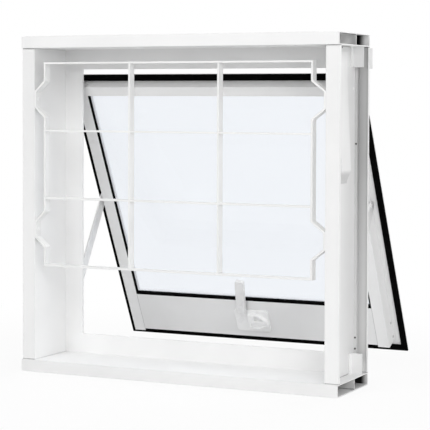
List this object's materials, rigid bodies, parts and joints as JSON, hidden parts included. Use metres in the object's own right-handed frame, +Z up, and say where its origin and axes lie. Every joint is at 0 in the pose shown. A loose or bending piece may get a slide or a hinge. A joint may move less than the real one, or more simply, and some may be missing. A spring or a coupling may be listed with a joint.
{
  "type": "awning window",
  "caption": "White aluminium awning window: deep casing, fixed grille of flat bars on the room side, and a glazed sash held open by a stay on each side, with a lever handle.",
  "frame": {"origin": "middle of the sill rail's underside: halfway along the width and halfway through the casing's depth", "axes": "+X to the right seen from the room, +Y from the room to the outside, +Z up"},
  "size_m": [0.61, 0.3925, 0.6],
  "materials": {
    "white_casing": "white powder coat on extruded aluminium, satin",
    "white_sash": "white powder coat on extruded aluminium, satin",
    "white_grille": "white powder coat on flat bar, satin",
    "white_handle": "white powder coat on die-cast metal, semi-gloss",
    "white_plastic": "moulded plastic slider",
    "bare_aluminium": "mill finish",
    "clear_glass": "clear float glass, single pane",
    "black_rubber": "black extruded rubber"
  },
  "bodies": {
    "root": {"bedding_gasket": "black_rubber", "glass_pane": "clear_glass", "glazing_gasket": "black_rubber", "grille_bottom_bar": "white_grille", "grille_left_side": "white_grille", "grille_left_upright": "white_grille", "grille_lower_bar": "white_grille", "grille_right_side": "white_grille", "grille_right_upright": "white_grille", "grille_top_bar": "white_grille", "grille_upper_bar": "white_grille", "handle_base": "white_handle", "handle_latch": "white_handle", "handle_lever": "white_handle", "head_rail": "white_casing", "head_stop": "white_casing", "left_anchor": "bare_aluminium", "left_back_angle": "bare_aluminium", "left_bottom_cleat": "bare_aluminium", "left_jamb": "white_casing", "left_stay_arm": "bare_aluminium", "left_stay_rivets": "bare_aluminium", "left_stay_shoe": "white_plastic", "left_stay_track": "bare_aluminium", "left_stop": "white_casing", "left_top_cleat": "bare_aluminium", "right_anchor": "bare_aluminium", "right_back_angle": "bare_aluminium", "right_bottom_cleat": "bare_aluminium", "right_jamb": "white_casing", "right_stay_arm": "bare_aluminium", "right_stay_rivets": "bare_aluminium", "right_stay_shoe": "white_plastic", "right_stay_track": "bare_aluminium", "right_stop": "white_casing", "right_top_cleat": "bare_aluminium", "sash_bottom_rail": "white_sash", "sash_left_stile": "white_sash", "sash_right_stile": "white_sash", "sash_top_rail": "white_sash", "sill_rail": "white_casing", "sill_stop": "white_casing", "weather_seal": "black_rubber"}
  },
  "joints": []
}
